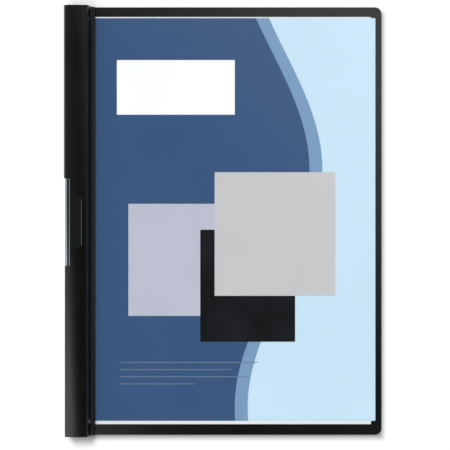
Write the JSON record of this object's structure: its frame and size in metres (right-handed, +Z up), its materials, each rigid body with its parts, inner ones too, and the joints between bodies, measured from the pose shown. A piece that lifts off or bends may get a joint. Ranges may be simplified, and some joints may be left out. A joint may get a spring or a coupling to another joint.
{
  "type": "report cover",
  "caption": "Letter-size report cover with a clear front, a black folded back and spine, and a steel clamp rail that swings out of the spine to release the sheets.",
  "frame": {"origin": "middle of the bounding box at the level of the back cover's underside, which lies on the table", "axes": "+X from the spine to the fore edge, +Y up the page, +Z up out of the front cover"},
  "size_m": [0.2202, 0.2976, 0.0085],
  "materials": {
    "black_board": "satin black sheet plastic",
    "clear_film": "clear glossy film",
    "rail_steel": "smooth bright steel strip",
    "rivet_steel": "plain steel",
    "printed_paper": "printed sheet in plain fields of blue",
    "white_paper": "white office paper"
  },
  "bodies": {
    "back": {"back_cover": "black_board", "pivot_rivet": "rivet_steel", "title_sheet": "printed_paper", "white_sheets": "white_paper"},
    "rail": {"clamp_rail": "rail_steel"},
    "front": {"front_cover": "clear_film"}
  },
  "joints": [
    {"name": "rail_swing", "type": "hinge", "parent": "back", "child": "rail", "pos_m": [-0.1037, 0.03695, 0.00115], "axis": [0, 0, -1], "range_deg": [0, 45]},
    {"name": "cover_open", "type": "hinge", "parent": "back", "child": "front", "pos_m": [-0.0889, 0, 0.0019], "axis": [0, -1, 0], "range_deg": [0, 110]}
  ]
}
